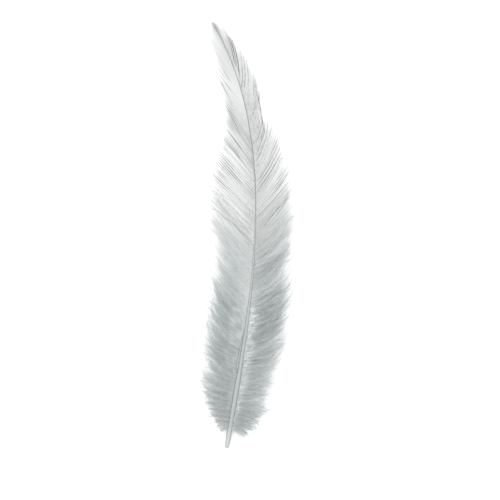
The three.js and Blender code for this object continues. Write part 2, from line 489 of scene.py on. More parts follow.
def barb_tree(name):
    """A geometry tree that makes planned barbs into tubes, and sets barbules on both their sides."""
    nodes = Nodes(bpy.data.node_groups.new(name, "GeometryNodeTree"))
    plan = nodes.input("Plan", "NodeSocketGeometry")
    measures = ("Spacing", "Angle", "Stray", "Spread", "Bend")
    sockets = [nodes.input("Barbule " + measure, "NodeSocketFloat") for measure in measures]
    spacing, angle, stray, spread, bend = sockets
    seed = nodes.input("Seed", "NodeSocketInt")
    material = nodes.input("Material", "NodeSocketMaterial")

    strands = nodes.value("GeometryNodeMeshToCurve", Mesh=plan)
    ring = nodes.node("GeometryNodeCurvePrimitiveCircle", Resolution=BARB_SIDES, Radius=1.0)
    index = nodes.value("GeometryNodeInputIndex")
    profile = nodes.stored(nodes.out(ring, "Curve"), AROUND, index * (1 / BARB_SIDES))
    tubes = nodes.value(
        "GeometryNodeCurveToMesh", Curve=strands, Profile_Curve=profile,
        Scale=nodes.attribute(RADIUS), Fill_Caps=True,
    )

    spots = nodes.node("GeometryNodeCurveToPoints", {"mode": "LENGTH"}, Curve=strands, Length=spacing)
    tangent = nodes.out(spots, "Tangent")
    out = nodes.vector("NORMALIZE", nodes.vector("CROSS_PRODUCT", tangent, UP))
    over = nodes.vector("CROSS_PRODUCT", out, tangent)
    side = nodes.math("MODULO", index, 2.0) * 2.0 - 1.0
    turn = nodes.random(-1.0, 1.0, seed) * spread
    lean = angle * (nodes.random(-1.0, 1.0, seed + 1) * stray + 1.0)
    out_share = nodes.math("SINE", lean) * nodes.math("COSINE", turn) * side
    over_share = nodes.math("SINE", lean) * nodes.math("SINE", turn)
    shares = (tangent, nodes.math("COSINE", lean)), (out, out_share), (over, over_share)
    ahead, aside, above = (nodes.vector("SCALE", axis, share) for axis, share in shares)
    direction = nodes.vector("ADD", ahead, nodes.vector("ADD", aside, above))
    turned = nodes.value(
        "FunctionNodeAxesToRotation", {"primary_axis": "Z", "secondary_axis": "X"},
        Primary_Axis=direction, Secondary_Axis=tangent,
    )
    length = nodes.attribute(BARBULE) * nodes.random(*BARBULE_LENGTHS, seed + 2)
    there = nodes.value("FunctionNodeCompare", {"operation": "GREATER_THAN"}, A=length, B=LEAST_BARBULE)
    shade = nodes.attribute(TONE) + nodes.random(-TONE_STRAY, TONE_STRAY, seed + 3)
    points = nodes.stored(nodes.out(spots, "Points"), TONE, shade)
    barbules = nodes.value(
        "GeometryNodeInstanceOnPoints", Points=points, Selection=there,
        Instance=barbule_shape(nodes, bend), Rotation=turned,
        Scale=nodes.combine(nodes.attribute(HAIR), nodes.attribute(HAIR), length),
    )

    both = nodes.node("GeometryNodeJoinGeometry")
    nodes.feed(both.inputs[0], barbules)
    nodes.feed(both.inputs[0], tubes)
    whole = nodes.value("GeometryNodeRealizeInstances", Geometry=nodes.out(both))
    across = nodes.attribute(ALONG) * MAP_ALONG[1] + nodes.attribute(RISE) * MAP_RISE + MAP_ALONG[0]
    upwards = nodes.attribute(TONE) * MAP_TONE[1] + nodes.attribute(AROUND) * MAP_AROUND + MAP_TONE[0]
    whole = nodes.stored(whole, BAKE_MAP, nodes.combine(across, upwards, 0.0), "FLOAT2", "CORNER")
    whole = laid_down(nodes, whole)
    whole = nodes.value("GeometryNodeSetShadeSmooth", Geometry=whole)
    nodes.result(nodes.value("GeometryNodeSetMaterial", Geometry=whole, Material=material))
    return nodes.tree


def new_object(name, data):
    made = bpy.data.objects.new(name, data)
    bpy.context.scene.collection.objects.link(made)
    return made


class Barbs:
    """The barbs of one side of the shaft, or of a part of it, in steps along each barb."""

    steps = 2

    def __init__(self, line, side, settings, part=None):
        self.line = line
        self.side = side
        self.settings = settings
        self.part = part
        self.along = np.linspace(0, 1, self.steps)[None, :]
        self.sort_barbs()
        self.lay_barbs()


def grow_all(pieces, slot, settings, roughness, barbules):
    """Grows the barbs of pieces, given by their names, with one tree and one material."""
    title = slot.capitalize() + " barbs"
    tree = barb_tree(title)
    material = barb_material(title, settings.dark, settings.pale, roughness)
    inputs = {"Barbule Spacing": settings.spacing, "Seed": settings.seed, "Material": material, **barbules}
    for name, barbs in pieces.items():
        grow(name, barbs.plan(name), tree, inputs)


def grow(name, plan, tree, inputs):
    """Makes a plan of barbs into a plain mesh, and hands it to the frame as a piece."""
    piece = new_object(name, plan)
    modifier = piece.modifiers.new("Barbs", "NODES")
    modifier.node_group = tree
    sockets = {item.name: item.identifier for item in tree.interface.items_tree if item.in_out == "INPUT"}
    for key, value in inputs.items():
        modifier[sockets[key]] = value
    depsgraph = bpy.context.evaluated_depsgraph_get()
    mesh = bpy.data.meshes.new_from_object(piece.evaluated_get(depsgraph))
    mesh.name = name
    piece.modifiers.remove(modifier)
    piece.data = mesh
    bpy.data.meshes.remove(plan)
    for key in (ALONG, TONE, RADIUS, BARBULE, HAIR, RISE, AROUND):
        if key in mesh.attributes:
            mesh.attributes.remove(mesh.attributes[key])
    if not mesh.polygons:
        raise RuntimeError(f"{name} came out empty")
    hand_over(piece)


def hand_over(piece):
    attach(piece, BODY)
    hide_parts(NODE)


# Materials

END_PALENESS = 0.08
WHITE = (1.0, 1.0, 1.0)


def new_material(name, roughness):
    material = bpy.data.materials.new(name)
    material.use_nodes = True
    nodes = Nodes(material.node_tree)
    shader = material.node_tree.nodes["Principled BSDF"]
    shader.inputs["Roughness"].default_value = roughness
    return material, nodes, shader


def mixed(nodes, factor, a, b):
    """A colour that goes from a to b."""
    made = nodes.node("ShaderNodeMix", {"data_type": "RGBA"}, Factor=factor, A=a, B=b)
    return nodes.out(made, "Result")


def opaque(colour):
    return (*colour, 1.0)


def barb_material(name, dark, pale, roughness):
    """Barbs whose colour follows their tone and pales a little towards their ends."""
    material, nodes, shader = new_material(name, roughness)
    along, level = nodes.map_place()
    tone = (level - MAP_TONE[0]) * (1 / MAP_TONE[1])
    paleness = nodes.math("MINIMUM", tone + along * END_PALENESS, 1.0)
    nodes.feed(shader.inputs["Base Color"], mixed(nodes, paleness, opaque(dark), opaque(pale)))
    return material


# Shaft

SHAFT_RINGS = 260
SHAFT_SIDES = 20
END_RINGS = 8
END_ROUNDING = 0.006
PIT_DEPTH = 0.5 * MM
PIT_RADIUS = 0.6
GROOVE_FROM = 0.1
GROOVE_FULL = 0.22
GROOVE_WIDTH = 0.5
UNDERSIDE = 1.5 * math.pi

# The thin stem that runs close along the left of the shaft
STEM_FROM = 0.172
STEM_TO = 0.285
STEM_RINGS = 30
STEM_SIDES = 8
STEM_INSET = 0.8
STEM_GAP = 0.8 * MM
STEM_SKEW = 0.6
STEM_RADIUS = 0.18 * MM
STEM_TAPER = 0.5
STEM_RISE = 0.5 * MM

# Room that is left at both ends of the shaft's colour map, and the start and span of the stem in it
MAP_MARGIN = 0.03
STEM_MAP = (0.3, 0.1)

# Places along the shaft where it grows duller and then dark, and how much, the painted shade on its flanks
# by how far they face sideways, and its fine streaks
HORN_ROUGHNESS = 0.38
DULLS = (0.06, 0.09)
DULLNESS = 0.45
DARKENS = (0.38, 0.62)
DARKNESS = 0.55
FLANK_SHADE = (0.5, 0.92)
GRAIN_ALONG = 8.0
GRAIN_AROUND = 40.0
GRAIN_DETAIL = 3.0
GRAIN_DEPTH = 0.3
GRAIN_BUMP = 0.25
GRAIN_HEIGHT = 0.05 * MM


class TubeMesh:
    """Tubes gathered into one mesh, with a map of the way along them and around them."""

    def __init__(self):
        self.points = []
        self.faces = []
        self.places = []

    def add(self, rings, levels):
        """A tube through rings of points, closed at both ends."""
        count, sides, _ = rings.shape
        first = len(self.points)
        self.points += rings.reshape(-1, 3).tolist()
        around = np.linspace(0, 1, sides + 1)

        def face(corners):
            self.faces.append([first + row * sides + k % sides for row, k in corners])
            self.places.extend((levels[row], around[k]) for row, k in corners)

        for row in range(count - 1):
            for k in range(sides):
                face(((row, k), (row, k + 1), (row + 1, k + 1), (row + 1, k)))
        face([(0, k) for k in reversed(range(sides))])
        face([(count - 1, k) for k in range(sides)])

    def mesh(self, name):
        made = bpy.data.meshes.new(name)
        made.from_pydata(self.points, [], self.faces)
        layer = made.uv_layers.new(name=BAKE_MAP)
        layer.data.foreach_set("uv", np.array(self.places, np.float32).ravel())
        made.shade_smooth()
        return made


def rings_along(centres, radii):
    """Rings around a line of centres, each with a radius for every side, counted from the right."""
    along = unit(np.gradient(centres, axis=0))
    across = unit(np.cross(along, UP))
    over = np.cross(across, along)
    angles = np.arange(radii.shape[1]) * 2 * math.pi / radii.shape[1]
    return (
        centres[:, None, :]
        + (radii * np.cos(angles))[..., None] * across[:, None, :]
        + (radii * np.sin(angles))[..., None] * over[:, None, :]
    )


def shaft_rings(line, groove):
    """The shaft, grooved along its underside, with a rounded end and a pit in that."""
    end_shares = np.linspace(0, END_ROUNDING, END_RINGS, endpoint=False)
    shares = np.concatenate((end_shares, np.linspace(END_ROUNDING, 1, SHAFT_RINGS)))
    angles = np.arange(SHAFT_SIDES) * 2 * math.pi / SHAFT_SIDES
    underneath = np.exp(-(((angles - UNDERSIDE) / GROOVE_WIDTH) ** 2))
    depth = groove * ramp(GROOVE_FROM, GROOVE_FULL, shares)
    to_end = 1 - np.minimum(shares / END_ROUNDING, 1)
    rounding = np.sqrt(1 - (1 - PIT_RADIUS**2) * to_end**2)
    radii = (shaft_radius(shares) * rounding)[:, None] * (1 - depth[:, None] * underneath[None, :])
    rings = rings_along(line.at(shares), radii)
    end = line.at(0)
    pit = end + PIT_DEPTH * line.direction(0) + PIT_RADIUS * (rings[0] - end)
    levels = MAP_MARGIN + (1 - 2 * MAP_MARGIN) * shares
    return np.concatenate((pit[None], rings)), np.concatenate(([0], levels))


def stem_rings(line):
    """The thin stem, which leaves the shaft's flank and joins it again."""
    shares = np.linspace(STEM_FROM, STEM_TO, STEM_RINGS)
    t = np.linspace(0, 1, STEM_RINGS)
    distances = shaft_radius(shares) * STEM_INSET + STEM_GAP * np.sin(math.pi * t**STEM_SKEW)
    heights = line.at(shares)[:, 2] + STEM_RISE
    centres = line.beside(shares, LEFT, distances, heights)
    radii = STEM_RADIUS * (1 - STEM_TAPER * t)
    levels = STEM_MAP[0] + STEM_MAP[1] * t
    return rings_along(centres, np.repeat(radii[:, None], STEM_SIDES, axis=1)), levels


def shaft_material(settings):
    """Pale horn at the quill, darker towards the point, with painted shade along its flanks and fine
    streaks.
    """
    material, nodes, shader = new_material("Shaft horn", HORN_ROUGHNESS)
    along, around = nodes.map_place()
    grain = nodes.value(
        "ShaderNodeTexNoise", {"noise_dimensions": "2D"},
        Vector=nodes.combine(along * GRAIN_ALONG, around * GRAIN_AROUND, 0.0),
        Scale=1.0, Detail=GRAIN_DETAIL,
    )
    sideways = nodes.math("ABSOLUTE", nodes.math("COSINE", around * (2 * math.pi)))
    darkness = nodes.ramp(*DULLS, along) * DULLNESS + nodes.ramp(*DARKENS, along) * DARKNESS
    # Painted shade darkens the flanks by how far they face sideways
    darkness = darkness + nodes.ramp(*FLANK_SHADE, sideways) * (1.0 - darkness) + (grain - 0.5) * GRAIN_DEPTH
    darkness = nodes.math("MAXIMUM", nodes.math("MINIMUM", darkness, 1.0), 0.0)
    colour = mixed(nodes, darkness, opaque(settings.quill), opaque(settings.hair))
    nodes.feed(shader.inputs["Base Color"], colour)
    bump = nodes.value("ShaderNodeBump", Strength=GRAIN_BUMP, Distance=GRAIN_HEIGHT, Height=grain)
    nodes.feed(shader.inputs["Normal"], bump)
    return material


class HACKLE_OT_shaft(bpy.types.Operator):
    """Builds the shaft, from the bare quill to the hair at the point"""

    bl_idname = "hackle.shaft"
    bl_label = "Build Shaft"

    def execute(self, context):
        settings = context.scene.hackle.shaft
        line = ShaftLine()
        tubes = TubeMesh()
        tubes.add(*shaft_rings(line, settings.groove))
        tubes.add(*stem_rings(line))
        mesh = tubes.mesh("shaft")
        mesh.materials.append(shaft_material(settings))
        hand_over(new_object("shaft", mesh))
        return {"FINISHED"}


# Vanes

VANE_DENSITY = ((0.37, 0.85), (0.45, 1.1), (0.7, 1.1), (0.85, 0.8), (0.975, 0.5))
VANE_STEPS = 30
VANE_CLEARANCE = 0.8 * MM
VANE_LANDING = 0.1 * MM
VANE_ROUGHNESS = 0.5
ROOT_STRAY = 0.4
WEB = {
    "Barbule Angle": math.radians(38), "Barbule Stray": 0.25,
    "Barbule Spread": math.radians(20), "Barbule Bend": 4.0,
}

# By the share of the shaft: where barbs bend, which are nearly straight in the broad part of the vane,
# their lengths, how far out they reach by the point, and how far along them the web begins to end
VANE_BEND_ALONG = ((0.64, 0.47), (0.8, 0.39))
VANE_BEND_OUT = ((0.64, 0.54), (0.8, 0.64))
VANE_LENGTHS = {
    LEFT: ((0.37, 1.1), (0.44, 1.22), (0.5, 1.22), (0.56, 1.14), (0.64, 1.04), (0.7, 1)),
    RIGHT: ((0, 1),),
}
VANE_WIDTHS = {
    LEFT: ((0.81, 1), (0.825, 0.85), (0.845, 1.08), (0.88, 1.25), (0.91, 1.4)),
    RIGHT: ((0.88, 1), (0.895, 1.25), (0.91, 1.4)),
}
WEB_ENDS = {
    LEFT: ((0.6, 0.9), (0.7, 0.8), (0.74, 0.66), (0.812, 0.66), (0.828, 1)),
    RIGHT: ((0.6, 0.86), (0.72, 0.8), (0.87, 0.8), (0.91, 1)),
}

# Shares of the shaft over which the barbs come together into a web, and over which they grow finer
LOOSE_END = (0.42, 0.6)
FINE_ROOTS = (0.75, 0.97)
FINE_THINS = 0.45

# Barbs cling together in clumps of three or four
CLUMP_BARBS = (3, 5)
CLUMP_PULL = {LEFT: 0.3, RIGHT: 0.5}
CLUMP_LIFT = 0.3 * MM
MOST_PULL = 0.9

# How the loose barbs differ from those of the web
LOOSE_SHORTER = 0.2
LOOSE_PULL = 0.3
LOOSE_SWING = 7
LOOSE_THINS = 0.35
LOOSE_SHADE = {LEFT: 0.17, RIGHT: 0.21}

# Where along a barb the web begins and how it ends, and how much longer its barbules are by kinds of barb
WEB_BEGINS = (-0.1, 0.08)
WEB_FADES = 0.2
WEB_TAPER = 0.3
WEB_CHANGES = {
    "smooth": 0.25, "loose": 1.4, "fine": -0.25, "hairs": -0.5,
    "streaks": -0.4, "lines": -0.8, "wisps": -0.9, "split": -0.6,
}

# Tones of the web by the share of the shaft, the fine raised line beside each clump, and small spots
WEB_TONE = {
    LEFT: (
        (0.5, 0.8), (0.6, 0.83), (0.68, 0.82), (0.74, 0.92),
        (0.8, 1), (0.86, 0.93), (0.91, 0.7), (0.95, 0.65),
    ),
    RIGHT: ((0.5, 0.62), (0.66, 0.68), (0.72, 0.66), (0.8, 0.62), (0.88, 0.7), (0.96, 0.6)),
}
LINE_DEPTH = {
    LEFT: ((0.45, 0.75), (0.72, 0.7), (0.78, 0.2), (0.95, 0.1)),
    RIGHT: ((0.45, 0.35), (0.66, 0.35), (0.72, 0.12), (0.95, 0.1)),
}
LINE_SPREAD = (0.4, 1)
LINE_LIFT = 0.2 * MM
LINE_SWELL = 2.5
SPOT_SIZE = 0.55 * MM
SPOTS = {
    LEFT: ((0.5, 0.12), (0.75, 0.08), (0.85, 0.03)),
    RIGHT: ((0.5, 0.12), (0.7, 0.25), (0.85, 0.25), (0.9, 0.1)),
}

# The left web is darker and more spotted close to the shaft
SHADY_ROOTS = (0.44, 0.74)
SHADY_ALONG = (0.05, 0.35)
SHADE = 0.2
SHADE_SPOTS = 0.25

# Single barbs whose ends are dark hairs, where along the barb that begins, and how these differ:
# they are thickest by the point on the left, and hardly show among the loose barbs
HAIRS = {LEFT: 0.4, RIGHT: 0.15}
HAIR_FROM = {LEFT: (0.3, 0.65), RIGHT: (-0.1, 0.7)}
HAIR_SETS_IN = 0.25
HAIR_DEPTH = (0.4, 0.9)
HAIR_SWELL = {LEFT: ((0.77, 2.2), (0.79, 3.6)), RIGHT: ((0, 2.2),)}
HAIR_LONGER = 0.06
HAIR_LIFT = 0.15 * MM
LOOSE_HIDES = 0.85

# The smooth edges of the web by the point
SMOOTH_ROOTS = {LEFT: (0.815, 0.83), RIGHT: (0.885, 0.9)}
SMOOTH_EVENS = 0.8

# Gaps in the web: where their roots are, and how wide they open
SPLITS = {
    LEFT: ((0.513, 0.4 * MM), (0.55, 0.2 * MM), (0.584, 0.3 * MM), (0.603, 0.2 * MM), (0.618, 0.4 * MM)),
    RIGHT: ((0.57, 0.4 * MM), (0.66, 0.3 * MM)),
}
SPLIT_FADES = 0.012
SPLIT_EDGE = 0.003
SPLIT_OPENS = (0.05, 0.4)
SPLIT_SHUTS = (0.6, 1)
SPLIT_SHUT = 0.7

# Dark streaks by the point, two barbs in five, the pale fringe below them, and the curled edge below
# that, all on the right. The curl starts where barbs have gone a share of the way to the vane's edge.
STREAK_ROOTS = (0.833, 0.884)
STREAK_BARBS = 2
STREAK_EVERY = 5
STREAK_NARROWS = 0.15
STREAK_FROM = (0.15, 0.5)
STREAK_SWELL = 3.3
PALE_ROOTS = (0.73, 0.87)
PALE_ALONG = (0.1, 0.6)
PALENESS = 0.3
CURL_ROOTS = (0.65, 0.722)
CURL_AT = ((0.735, 0.58), (0.76, 0.68), (0.785, 0.8))
CURL_GAP = (0.52, 0.78)
CURL_BARES = 0.95
CURL_EDGE = (0.74, 0.82)
CURL_SPREAD = (0.3, 1)
CURL_DEPTH = 0.9
CURL_SWELL = 3
CURL_LIFT = 0.5 * MM

# Bare, wavy barbs among the loose ones: their share, and how they differ
WISPS = {LEFT: 0.4, RIGHT: 0.3}
WISP_DEPTH = {LEFT: (-0.4, 0.4), RIGHT: (-0.3, 0.4)}
WISP_SWELL = 1.5
WISP_STRAY = 0.35
WISP_LIFT = 2 * MM


class VaneBarbs(Barbs):
    """The barbs of one vane: a close web above, and loose barbs where the down begins."""

    steps = VANE_STEPS

    def sort_barbs(self):
        """Finds the barbs' roots and clumps, and how far each barb is of one kind or another."""
        side, count = self.side, self.settings.barbs
        on_left, on_right = side == LEFT, side == RIGHT
        each = (count, 1)
        rng = np.random.default_rng(self.settings.seed + side)
        numbers = np.arange(count)
        places = np.linspace(0, 1, count)[:, None] + ROOT_STRAY * rng.uniform(-1, 1, each) / count
        roots = roots_by_density(VANE_DENSITY, places)
        self.each = each
        self.rng = rng
        self.roots = roots
        self.clumps = np.repeat(numbers, rng.integers(*CLUMP_BARBS, count))[:count]
        self.loose = 1 - ramp(*LOOSE_END, roots)
        self.fine = ramp(*FINE_ROOTS, roots)
        self.smooth = ramp(*SMOOTH_ROOTS[side], roots)
        self.shady = on_left * window(*SHADY_ROOTS, roots)
        self.streaked = on_right * plateau(*STREAK_ROOTS, roots)
        self.streaks = self.streaked * (numbers % STREAK_EVERY < STREAK_BARBS)[:, None]
        self.faded = on_right * window(*PALE_ROOTS, roots)
        self.curled = on_right * plateau(*CURL_ROOTS, roots)
        first = np.diff(self.clumps, prepend=-1)[:, None] > 0
        depths = between(LINE_DEPTH[side], roots) * rng.uniform(*LINE_SPREAD, each)
        self.lines = first * depths * (1 - self.streaked) * (1 - self.loose)
        self.wisps = rng.random(each) < WISPS[side] * self.loose
        hairs = (rng.random(each) < HAIRS[side] * (1 - self.smooth)) & ~self.wisps
        hairs[1:] &= ~hairs[:-1]
        self.hairs = hairs
        to_split = np.min([np.abs(roots - split) for split, _ in SPLITS[side]], axis=0)
        self.split = to_split < SPLIT_EDGE

    def lay_barbs(self):
        """Finds the barbs' places beside the shaft and their heights."""
        rng, side, each, along = self.rng, self.side, self.each, self.along
        roots, clumps, loose, wisps = self.roots, self.clumps, self.loose, self.wisps
        ragged = uneven(rng, clumps, own=0.03, shared=0.01) + HAIR_LONGER * self.hairs
        lengths = 1 + ragged * (1 - SMOOTH_EVENS * self.smooth) - LOOSE_SHORTER * loose * rng.random(each)
        lengths = lengths + wisps * rng.uniform(0, WISP_STRAY, each)
        landings = VANE_LANDING + VANE_CLEARANCE * (1 - ramp(VANE_DENSITY[0][0], 1, roots))
        landings = landings + CLUMP_LIFT * rng.random(each)[clumps] + HAIR_LIFT * self.hairs
        landings = landings + CURL_LIFT * self.curled + LINE_LIFT * self.lines
        landings = landings + WISP_LIFT * wisps * rng.random(each)
        sweeps = 1 + uneven(rng, clumps, own=0.01, shared=0.01)
        sweeps = sweeps + loose * uneven(rng, clumps, own=0.2, shared=0.18)
        sweeps = sweeps + WISP_STRAY * wisps * rng.uniform(-1, 1, each)
        lengths = lengths * between(VANE_LENGTHS[side], roots)
        bend = between(VANE_BEND_ALONG, roots), between(VANE_BEND_OUT, roots)
        shares, distances, heights = barb_curves(
            self.line, roots, lengths, 0, landings, along, sweeps, bend=bend
        )
        pull = CLUMP_PULL[side] * rng.random(each)[clumps] + LOOSE_PULL * loose
        pull = np.minimum(pull, MOST_PULL) * (1 - wisps)
        shares = shares + pull * along**GROWTH * (clump_mean(shares, clumps) - shares)
        shares = shares + self.opening()
        swings = waves(rng, each, along, swing=0.8 * MM, turns=3.5)
        shares = shares + wisps * swings / self.line.length
        widths = between(VANE_WIDTHS[side], roots) * (1 - STREAK_NARROWS * self.streaked)
        swings = waves(rng, each, along, swing=0.1 * MM, turns=1.0)
        distances = distances * widths + swings * (1 + LOOSE_SWING * loose)
        edge = between(CURL_AT, shares) * between(REACH, shares)
        self.shares = shares
        self.distances = distances - self.curled * np.maximum(distances - edge, 0)
        self.heights = heights

    def opening(self):
        """How far barbs move apart on both sides of the gaps in the web."""
        shut = SPLIT_SHUT * ramp(*SPLIT_SHUTS, self.along)
        open_share = ramp(*SPLIT_OPENS, self.along) * (1 - shut)
        moves = 0
        for split, width in SPLITS[self.side]:
            away = self.roots - split
            push = np.sign(away) * np.exp(-np.abs(away) / SPLIT_FADES) * width / self.line.length
            moves = moves + push * open_share
        return moves

    def spots(self):
        """Random numbers around nought that are alike in each small square beside the shaft."""
        rows = (self.shares * self.line.length / SPOT_SIZE).astype(int)
        columns = (self.distances / SPOT_SIZE).astype(int)
        rows = rows - rows.min()
        columns = columns - columns.min()
        return self.rng.uniform(-1, 1, (rows.max() + 1, columns.max() + 1))[rows, columns]

    def plan(self, name):
        rng, side, each, along = self.rng, self.side, self.each, self.along
        settings, roots, loose = self.settings, self.roots, self.loose
        hair = ramp(0, HAIR_SETS_IN, along - rng.uniform(*HAIR_FROM[side], each))
        hair = hair * self.hairs * (1 - LOOSE_HIDES * loose)
        edge = self.curled * rng.uniform(*CURL_SPREAD, each) * ramp(*CURL_EDGE, along)
        swell = between(HAIR_SWELL[side], roots) * hair + STREAK_SWELL * self.streaks
        swell = swell + LINE_SWELL * self.lines + WISP_SWELL * self.wisps + CURL_SWELL * edge
        radii = settings.barb_radius * (1 - BARB_TAPER * along**GROWTH) * (1 - FINE_THINS * self.fine)
        radii = radii * (1 + swell)
        ends = between(WEB_ENDS[side], roots)
        web = ramp(*WEB_BEGINS, along) * (1 - ramp(ends, ends + WEB_FADES, along))
        for kind, change in WEB_CHANGES.items():
            web = web * (1 + change * getattr(self, kind))
        web = web * (1 - CURL_BARES * self.curled * window(*CURL_GAP, along))
        barbules = settings.barbule_length * web
        widths = settings.barbule_radius * (1 - WEB_TAPER * along) * (1 - LOOSE_THINS * loose)
        by_shaft = self.shady * (1 - ramp(*SHADY_ALONG, along))
        spotted = between(SPOTS[side], roots) + SHADE_SPOTS * by_shaft
        tones = between(WEB_TONE[side], roots) + uneven(rng, self.clumps, own=0.05, shared=0.05)
        tones = tones + spotted * self.spots() - SHADE * by_shaft - LOOSE_SHADE[side] * loose
        tones = tones + PALENESS * self.faded * ramp(*PALE_ALONG, along)
        tones = tones - rng.uniform(*HAIR_DEPTH, each) * hair - self.lines
        tones = tones - self.streaks * ramp(*STREAK_FROM, along) - CURL_DEPTH * edge
        tones = tones - self.wisps * rng.uniform(*WISP_DEPTH[side], each)
        tones = np.clip(tones, 0, 1)
        paths = self.line.beside(np.minimum(self.shares, 1), side, self.distances, self.heights)
        return plan_mesh(name, paths, along=along, tone=tones, radius=radii, barbule=barbules, hair=widths)


class HACKLE_OT_vanes(bpy.types.Operator):
    """Builds the two vanes, each of barbs in clumps with a web of barbules by the shaft"""

    bl_idname = "hackle.vanes"
    bl_label = "Build Vanes"

    def execute(self, context):
        settings = context.scene.hackle.vane
        line = ShaftLine()
        pieces = {"vane_" + word: VaneBarbs(line, side, settings) for side, word in SIDE_NAMES.items()}
        grow_all(pieces, "vane", settings, VANE_ROUGHNESS, WEB)
        return {"FINISHED"}


# Down

DOWN_DENSITY = ((0.045, 1.5), (0.12, 1.2), (0.3, 1), (0.4, 0.6), (0.52, 0.05))
DOWN_PARTS = {"foot": (0.0, 0.5), "middle": (0.5, 1.0)}
DOWN_STEPS = 24
DOWN_TOP = 4.6 * MM
DOWN_LIFT = 3.2 * MM
DOWN_LANDING = 0.3 * MM
DOWN_LOWEST = 0.1 * MM
DOWN_ROUGHNESS = 0.8
FLUFF = {
    "Barbule Angle": math.radians(42), "Barbule Stray": 0.5,
    "Barbule Spread": math.radians(70), "Barbule Bend": 14.0,
}

# What each side and each part of it adds to the seed
SIDE_SEED = 10
PART_SEED = 100

# Barbs lie in layers and cling together in tufts, which gather by a power of the way along them
NEW_TUFT = 0.24
TUFT_PULL = {LEFT: 0.95, RIGHT: 0.6}
TUFT_GATHERS = 5

# Lengths of the barbs, with lobes along the down's edge
DOWN_LENGTH = 0.95
DOWN_SHORTER = 0.2
LOBE_TURNS = (4, 9, 17)
LOBE_DEPTH = 0.12
DOWN_LENGTHS = {LEFT: ((0.045, 0.5), (0.09, 1), (0.3, 1), (0.4, 1.1), (0.48, 1.2)), RIGHT: ((0, 1),)}

# Stray barbs, which go their own way and end nearly bare
STRAYS = 0.3
STRAY_LONGER = 0.14
STRAY_SWING = 0.6
BARE_ALONG = (0.6, 0.85)
BARE_THINS = 0.7
BARE_DEPTH = 0.1

# Barbules along a barb: where they grow long and short again, how their lengths differ, and their taper
FLUFF_GROWS = (-0.05, 0.25)
FLUFF_ENDS = (0.65, 1)
FLUFF_SHRINKS = 0.85
FLUFF_LENGTHS = (0.7, 1)
FLUFF_TAPER = 0.25

# Where the down grows thinner up the shaft, and by how much its barbs and its barbules do
THIN_ROOTS = (0.3, 0.52)
THINS = 0.3
THIN_RADII = 0.2

# Tones of the down by the share of the shaft, and of the paler, speckled fuzz close to the shaft
DOWN_GRAIN = 0.14
DOWN_TONE = {
    LEFT: ((0.06, 0.36), (0.1, 0.3), (0.2, 0.27), (0.25, 0.32), (0.3, 0.38), (0.4, 0.62)),
    RIGHT: ((0.06, 0.38), (0.15, 0.5), (0.2, 0.45), (0.25, 0.32), (0.35, 0.34), (0.4, 0.5), (0.45, 0.6)),
}
FUZZ_TONE = {
    LEFT: ((0.12, 0.1), (0.22, 0.25), (0.3, 0.25), (0.4, 0.1)),
    RIGHT: ((0.08, 0.3), (0.15, 0.7), (0.3, 0.6), (0.34, 0)),
}
FUZZ_ALONG = {LEFT: (0.2, 0.6), RIGHT: (0.05, 0.27)}
SPECKLE = 4
SPECKLE_POWER = 3
FLECKS = {LEFT: 0, RIGHT: 0.22}
FLECK_FUZZ = 0.2
FLECK_SWELL = 2.2

# The lowest down ends in separate spikes: where these begin along a barb, and how they differ from it
SPIKY_ROOTS = (0.06, 0.13)
SPIKY_ALONG = (0.45, 0.85)
SPIKE_PULL = 0.95
SPIKE_GATHERS = 2
SPIKE_CALM = 0.65
SPIKE_SWELL = 1.2
SPIKE_THINS = 0.4
SPIKE_DEPTH = 0.2


